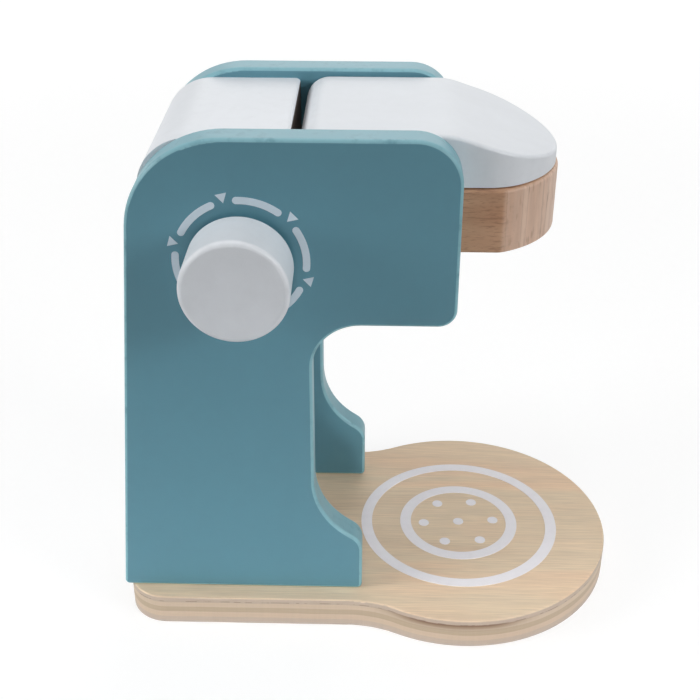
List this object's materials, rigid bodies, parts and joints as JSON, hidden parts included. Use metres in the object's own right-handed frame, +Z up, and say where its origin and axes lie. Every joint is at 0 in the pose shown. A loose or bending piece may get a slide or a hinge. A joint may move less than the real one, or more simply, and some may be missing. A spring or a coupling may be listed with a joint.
{
  "type": "toy coffee maker",
  "caption": "Wooden toy coffee maker for pretend play: two side panels on a round-fronted base, a lid that swings up over a capsule well, an outlet over a cup rest, and a turning knob with a dial",
  "frame": {"origin": "on the underside of the base plate, half way along it, on the middle plane between the side panels", "axes": "+Z up, +X towards the front where the cup stands, +Y to the machine's left; the knob is on the right panel at negative Y"},
  "size_m": [0.1805, 0.1186, 0.1838],
  "materials": {
    "clear_plywood": "birch plywood, sanded, thin clear matt lacquer",
    "clear_beech": "solid beech, sanded, thin clear matt lacquer",
    "teal_paint": "plywood under satin grey-blue paint",
    "white_paint": "solid wood under satin white paint",
    "white_ink": "thin pale matt printing ink",
    "steel": "plain steel"
  },
  "bodies": {
    "body": {"base_plate": "clear_plywood", "right_panel": "teal_paint", "left_panel": "teal_paint", "rear_cap": "white_paint", "rear_board": "white_paint", "front_board": "white_paint", "brew_head": "clear_beech", "lid_pin": "steel", "base_screws": "steel", "head_dowels": "clear_beech", "cap_dowels": "clear_beech", "rear_board_dowels": "clear_beech", "front_board_dowels": "clear_beech", "dial_print": "white_ink", "cup_print": "white_ink"},
    "lid": {"lid": "white_paint"},
    "knob": {"knob": "white_paint", "knob_dowel": "clear_beech", "knob_washer": "steel", "knob_screw": "steel"}
  },
  "joints": [
    {"name": "lid_hinge", "type": "hinge", "parent": "body", "child": "lid", "pos_m": [-0.0171, 0, 0.1732], "axis": [0, -1, 0], "range_deg": [0, 104]},
    {"name": "knob_turn", "type": "hinge", "parent": "body", "child": "knob", "pos_m": [-0.0427, 0, 0.1439], "axis": [0, 1, 0], "continuous": true}
  ]
}
